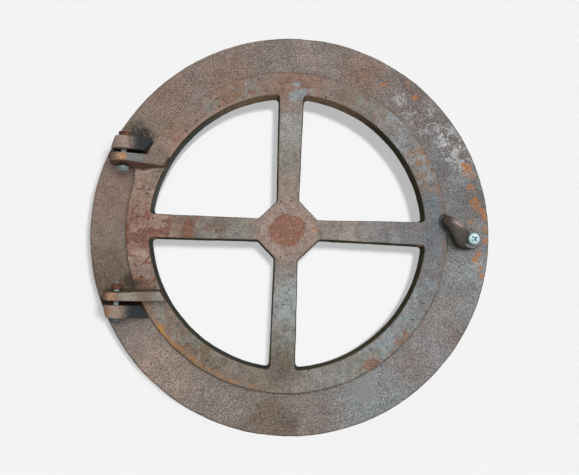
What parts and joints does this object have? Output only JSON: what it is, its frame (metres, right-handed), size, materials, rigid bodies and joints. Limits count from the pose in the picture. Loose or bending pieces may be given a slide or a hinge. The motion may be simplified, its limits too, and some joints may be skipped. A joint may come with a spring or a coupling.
{
  "type": "opening window",
  "caption": "Round cast-iron opening window: a flanged ring frame and an inner sash with four glazing bars, hung on two hinges and held by a turn catch.",
  "frame": {"origin": "on the floor plane at the back end of the collar, under the centre of the flange", "axes": "+Z out of the window's face, +X from the hinges to the catch, +Y up the wall when fitted with the hinges on the left"},
  "size_m": [0.4, 0.4, 0.0575],
  "materials": {
    "frame_iron": "bare weathered casting, fine orange-peel skin with brown and orange rust",
    "sash_iron": "bare weathered casting, smoother, small pits, red-brown and blue-grey patches",
    "catch_iron": "dark casting, worn paler along its ridge",
    "bolt_steel": "dull zinc-plated steel",
    "nut_steel": "rusted steel",
    "screw_steel": "bright zinc-plated steel"
  },
  "bodies": {
    "frame": {"frame": "frame_iron", "upper_hinge_bolt": "bolt_steel", "upper_hinge_nut": "nut_steel", "lower_hinge_bolt": "bolt_steel", "lower_hinge_nut": "nut_steel", "catch_screw": "screw_steel"},
    "sash": {"sash": "sash_iron"},
    "catch": {"catch": "catch_iron"}
  },
  "joints": [
    {"name": "sash_swing", "type": "hinge", "parent": "frame", "child": "sash", "pos_m": [-0.1665, 0, 0.0445], "axis": [0, -1, 0], "range_deg": [0, 175]},
    {"name": "catch_turn", "type": "hinge", "parent": "frame", "child": "catch", "pos_m": [0.1806, 0.001, 0.0345], "axis": [0, 0, 1], "continuous": true}
  ]
}
